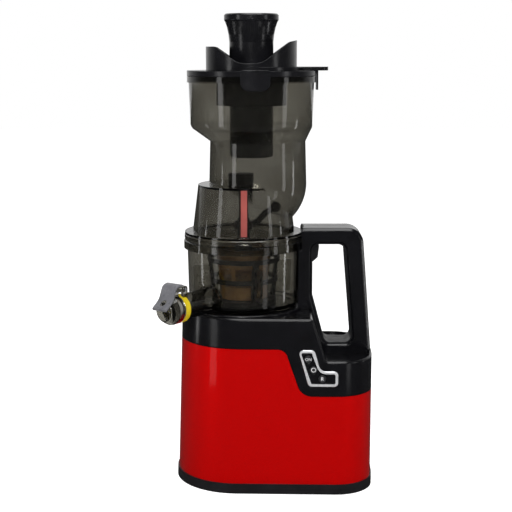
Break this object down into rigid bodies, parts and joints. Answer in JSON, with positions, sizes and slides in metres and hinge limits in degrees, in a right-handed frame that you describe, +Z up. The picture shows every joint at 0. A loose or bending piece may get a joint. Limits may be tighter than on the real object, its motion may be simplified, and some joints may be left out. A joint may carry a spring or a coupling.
{
  "type": "cold press juicer",
  "caption": "Upright cold press juicer: red and black motor base with handle, smoke bowl with juice spout, feed chute, hopper with hinged cover and pusher.",
  "frame": {"origin": "under the middle of the bounding box, at the level the feet stand on; the drive axis stands 25.592 mm to -X and 11.539 mm to +Y of it", "axes": "+Z up, parallel to the drive axis, +X towards the handle, -Y towards the buttons"},
  "size_m": [0.2356, 0.2214, 0.5145],
  "materials": {
    "red_gloss": "high gloss metallic red",
    "black_gloss": "gloss",
    "black_satin": "satin",
    "smoke_clear": "clear, dark smoke tint",
    "black_rubber": "matt",
    "white_silicone": "matt",
    "red_silicone": "matt",
    "yellow_silicone": "matt",
    "grey_plastic": "satin",
    "chrome": "polished",
    "stainless": "brushed",
    "zinc_steel": "zinc plated",
    "iron_core": "laminated, varnished",
    "white_gear": "satin nylon",
    "board_green": "solder mask",
    "grey_can": "satin"
  },
  "bodies": {
    "base": {"base_shell": "red_gloss", "upper_housing": "black_gloss", "base_trim": "black_gloss", "bottom_plate": "black_satin", "feet": "black_rubber", "foot_screws": "zinc_steel", "switch_bezel": "chrome", "switch_panel": "black_gloss", "switch_board": "board_green", "handle_front_shell": "black_gloss", "handle_rear_shell": "black_gloss", "grip_liner": "black_satin", "motor_stator": "iron_core", "motor_end_caps": "grey_can", "motor_bearings": "zinc_steel", "gearbox_case": "black_satin", "gearbox_cover": "black_satin", "idler_pin": "zinc_steel", "drive_bearings": "zinc_steel", "shaft_seal": "black_rubber", "control_board": "board_green", "run_capacitor": "grey_can", "capacitor_clip": "black_satin", "cord_gland": "black_rubber", "bowl_seat": "black_gloss"},
    "trigger": {"release_trigger": "black_satin"},
    "start_button": {"button_on": "grey_plastic"},
    "stop_button": {"button_off": "grey_plastic"},
    "reverse_button": {"button_reverse": "grey_plastic"},
    "rotor": {"motor_rotor": "iron_core"},
    "idler": {"idler_gear": "white_gear"},
    "drive": {"drive_gear": "white_gear", "drive_shaft": "stainless"},
    "bowl": {"juicing_bowl": "smoke_clear", "bowl_gasket": "white_silicone", "drain_plug": "black_rubber", "spout_ring": "yellow_silicone", "cap_pin": "stainless", "strainer_frame": "black_satin", "strainer_mesh": "stainless"},
    "transfer": {"transfer_gear": "black_satin"},
    "wiper": {"wiper_frame": "black_satin", "wiper_blades": "black_rubber"},
    "auger": {"auger": "black_satin", "auger_socket": "stainless", "feeding_arm": "black_satin"},
    "cap": {"spout_cap": "smoke_clear", "spout_lever": "grey_plastic"},
    "lid": {"chute_lid": "smoke_clear", "lid_gasket": "white_silicone", "alignment_strip": "red_silicone", "bearing_cap": "black_satin", "hopper": "smoke_clear", "cover_pin": "stainless"},
    "cover": {"hopper_cover": "black_gloss", "funnel": "black_gloss", "feed_sleeve": "black_satin", "lift_tab": "black_satin", "cover_latch": "black_gloss"},
    "pusher": {"pusher": "black_gloss"}
  },
  "joints": [
    {"name": "trigger_press", "type": "slide", "parent": "base", "child": "trigger", "axis": [-1, 0, 0], "range_m": [0, 0.003], "stiffness_N_per_m": 900, "springref_m": -0.003},
    {"name": "start_press", "type": "slide", "parent": "base", "child": "start_button", "axis": [0.0307, 0.9995, 0], "range_m": [0, 0.0012], "stiffness_N_per_m": 900, "springref_m": -0.002},
    {"name": "stop_press", "type": "slide", "parent": "base", "child": "stop_button", "axis": [0.0307, 0.9995, 0], "range_m": [0, 0.0012], "stiffness_N_per_m": 900, "springref_m": -0.002},
    {"name": "reverse_press", "type": "slide", "parent": "base", "child": "reverse_button", "axis": [0.0307, 0.9995, 0], "range_m": [0, 0.0012], "stiffness_N_per_m": 900, "springref_m": -0.002},
    {"name": "drive_spin", "type": "hinge", "parent": "base", "child": "drive", "pos_m": [-0.02559, 0.01154, 0.15], "axis": [0, 0, 1], "continuous": true},
    {"name": "idler_spin", "type": "hinge", "parent": "base", "child": "idler", "pos_m": [0.02691, 0.01154, 0.125], "axis": [0, 0, 1], "continuous": true},
    {"name": "rotor_spin", "type": "hinge", "parent": "base", "child": "rotor", "pos_m": [0.06291, 0.01154, 0.06], "axis": [0, 0, 1], "continuous": true},
    {"name": "bowl_lift", "type": "slide", "parent": "base", "child": "bowl", "axis": [0, 0, 1], "range_m": [0, 0.06]},
    {"name": "cap_swing", "type": "hinge", "parent": "bowl", "child": "cap", "pos_m": [-0.09142, -0.07907, 0.233], "axis": [-0.809, 0.5878, 0], "range_deg": [0, 95]},
    {"name": "transfer_spin", "type": "hinge", "parent": "bowl", "child": "transfer", "pos_m": [-0.00559, 0.01154, 0.203], "axis": [0, 0, 1], "continuous": true},
    {"name": "wiper_spin", "type": "hinge", "parent": "bowl", "child": "wiper", "pos_m": [-0.02559, 0.01154, 0.225], "axis": [0, 0, 1], "continuous": true},
    {"name": "auger_spin", "type": "hinge", "parent": "bowl", "child": "auger", "pos_m": [-0.02559, 0.01154, 0.25], "axis": [0, 0, 1], "continuous": true},
    {"name": "lid_lift", "type": "slide", "parent": "bowl", "child": "lid", "axis": [0, 0, 1], "range_m": [0, 0.08]},
    {"name": "cover_swing", "type": "hinge", "parent": "lid", "child": "cover", "pos_m": [-0.01689, 0.09204, 0.447], "axis": [-1, 0, 0], "range_deg": [0, 95]},
    {"name": "pusher_lift", "type": "slide", "parent": "cover", "child": "pusher", "axis": [0, 0, 1], "range_m": [0, 0.15]}
  ],
  "couplings": [
    {"joint": "idler_spin", "follows": "drive_spin", "ratio": -5},
    {"joint": "rotor_spin", "follows": "drive_spin", "ratio": 25},
    {"joint": "auger_spin", "follows": "drive_spin", "ratio": 1},
    {"joint": "transfer_spin", "follows": "drive_spin", "ratio": -2.3333},
    {"joint": "wiper_spin", "follows": "drive_spin", "ratio": -0.53846}
  ]
}
